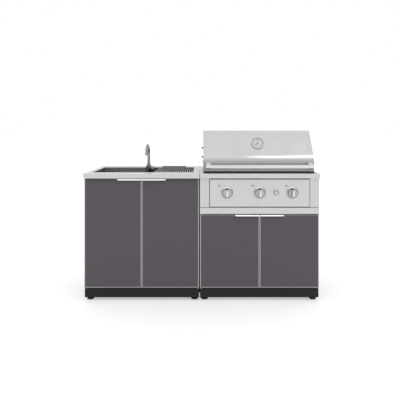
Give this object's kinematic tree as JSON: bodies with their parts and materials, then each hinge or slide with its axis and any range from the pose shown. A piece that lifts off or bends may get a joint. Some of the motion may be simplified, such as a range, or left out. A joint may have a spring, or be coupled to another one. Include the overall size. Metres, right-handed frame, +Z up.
{
  "type": "modular outdoor kitchen",
  "caption": "Freestanding outdoor kitchen: a sink cabinet with tap and drying rack joined to a gas grill cabinet with a lifting hood, knobs and hinged doors.",
  "frame": {"origin": "on the floor under the middle of the bounding box", "axes": "+X to the right along the front, +Y to the back, +Z up; the doors face -Y"},
  "size_m": [1.657, 0.64, 1.202],
  "materials": {
    "stainless": "brushed",
    "chrome": "polished",
    "brass": "machined",
    "bare_aluminium": "satin",
    "slate_paint": "satin powder coat",
    "black_paint": "satin powder coat",
    "cast_iron": "enamelled",
    "knob_metal": "brushed",
    "igniter_cap": "gloss",
    "hardware_steel": "zinc plated"
  },
  "bodies": {
    "cabinets": {"sink_cabinet_sides": "slate_paint", "sink_cabinet_back": "slate_paint", "sink_cabinet_floor": "slate_paint", "sink_face_frame": "bare_aluminium", "sink_plinth": "black_paint", "sink_countertop": "stainless", "sink_basin": "stainless", "drain_fitting": "stainless", "faucet_body": "chrome", "faucet_mount_nut": "brass", "door_pivot_plates": "hardware_steel", "levelling_feet": "hardware_steel", "module_joining_set": "hardware_steel", "grill_cabinet_sides": "slate_paint", "grill_cabinet_back": "slate_paint", "grill_cabinet_floor": "slate_paint", "grill_face_frame": "bare_aluminium", "grill_plinth": "black_paint", "grill_stiles": "stainless", "grill_lower_rail": "stainless", "grill_countertop": "stainless", "firebox": "stainless", "hood_side_plates": "stainless", "burners": "stainless", "heat_tents": "stainless", "cooking_grates": "cast_iron", "warming_rack": "stainless", "drip_tray": "stainless", "gas_train": "brass", "control_panel": "stainless", "control_bezels": "chrome"},
    "sink_left_door": {"sink_left_door_frame": "bare_aluminium", "sink_left_door_skin": "slate_paint", "sink_left_door_pull": "bare_aluminium"},
    "sink_right_door": {"sink_right_door_frame": "bare_aluminium", "sink_right_door_skin": "slate_paint", "sink_right_door_pull": "bare_aluminium"},
    "grill_left_door": {"grill_left_door_frame": "bare_aluminium", "grill_left_door_skin": "slate_paint", "grill_left_door_pull": "bare_aluminium"},
    "grill_right_door": {"grill_right_door_frame": "bare_aluminium", "grill_right_door_skin": "slate_paint", "grill_right_door_pull": "bare_aluminium"},
    "hood": {"hood_shell": "stainless", "hood_handle": "chrome", "hood_bolts": "hardware_steel", "thermometer_case": "chrome"},
    "needle": {"thermometer_needle": "stainless"},
    "left_stem": {"valve_stem_left": "hardware_steel"},
    "left_knob": {"knob_left": "knob_metal"},
    "middle_stem": {"valve_stem_middle": "hardware_steel"},
    "middle_knob": {"knob_middle": "knob_metal"},
    "right_stem": {"valve_stem_right": "hardware_steel"},
    "right_knob": {"knob_right": "knob_metal"},
    "igniter": {"igniter_button": "igniter_cap"},
    "spout": {"faucet_spout": "chrome", "faucet_aerator": "chrome"},
    "lever": {"faucet_lever": "chrome"},
    "rack": {"drying_rack": "stainless"},
    "basket": {"strainer_basket": "stainless"}
  },
  "joints": [
    {"name": "sink_left_door_swing", "type": "hinge", "parent": "cabinets", "child": "sink_left_door", "pos_m": [-0.8192, -0.264, 0.1], "axis": [0, 0, -1], "range_deg": [0, 105]},
    {"name": "sink_right_door_swing", "type": "hinge", "parent": "cabinets", "child": "sink_right_door", "pos_m": [-0.0258, -0.264, 0.1], "axis": [0, 0, 1], "range_deg": [0, 85]},
    {"name": "grill_left_door_swing", "type": "hinge", "parent": "cabinets", "child": "grill_left_door", "pos_m": [-0.0042, -0.264, 0.1], "axis": [0, 0, -1], "range_deg": [0, 85]},
    {"name": "grill_right_door_swing", "type": "hinge", "parent": "cabinets", "child": "grill_right_door", "pos_m": [0.8192, -0.264, 0.1], "axis": [0, 0, 1], "range_deg": [0, 105]},
    {"name": "hood_lift", "type": "hinge", "parent": "cabinets", "child": "hood", "pos_m": [0.4075, 0.21, 0.95], "axis": [-1, 0, 0], "range_deg": [0, 85]},
    {"name": "needle_turn", "type": "hinge", "parent": "hood", "child": "needle", "pos_m": [0.4075, -0.16022, 1.11044], "axis": [0, 0.8192, -0.5736], "range_deg": [0, 270], "stiffness_Nm_per_rad": 0.002},
    {"name": "left_knob_push", "type": "slide", "parent": "cabinets", "child": "left_stem", "axis": [0, 1, 0], "range_m": [0, 0.004], "stiffness_N_per_m": 600},
    {"name": "left_knob_turn", "type": "hinge", "parent": "left_stem", "child": "left_knob", "pos_m": [0.178, -0.29, 0.769], "axis": [0, -1, 0], "range_deg": [0, 180]},
    {"name": "middle_knob_push", "type": "slide", "parent": "cabinets", "child": "middle_stem", "axis": [0, 1, 0], "range_m": [0, 0.004], "stiffness_N_per_m": 600},
    {"name": "middle_knob_turn", "type": "hinge", "parent": "middle_stem", "child": "middle_knob", "pos_m": [0.4075, -0.29, 0.769], "axis": [0, -1, 0], "range_deg": [0, 180]},
    {"name": "right_knob_push", "type": "slide", "parent": "cabinets", "child": "right_stem", "axis": [0, 1, 0], "range_m": [0, 0.004], "stiffness_N_per_m": 600},
    {"name": "right_knob_turn", "type": "hinge", "parent": "right_stem", "child": "right_knob", "pos_m": [0.637, -0.29, 0.769], "axis": [0, -1, 0], "range_deg": [0, 180]},
    {"name": "igniter_press", "type": "slide", "parent": "cabinets", "child": "igniter", "axis": [0, 1, 0], "range_m": [0, 0.005], "stiffness_N_per_m": 500},
    {"name": "spout_swivel", "type": "hinge", "parent": "cabinets", "child": "spout", "pos_m": [-0.4225, 0.1435, 0.91], "axis": [0, 0, 1], "range_deg": [-110, 110]},
    {"name": "lever_lift", "type": "hinge", "parent": "cabinets", "child": "lever", "pos_m": [-0.3925, 0.1435, 0.9], "axis": [-1, 0, 0], "range_deg": [0, 60]},
    {"name": "rack_lift", "type": "slide", "parent": "cabinets", "child": "rack", "axis": [0, 0, 1], "range_m": [0, 0.08]},
    {"name": "basket_lift", "type": "slide", "parent": "cabinets", "child": "basket", "axis": [0, 0, 1], "range_m": [0, 0.1]}
  ]
}
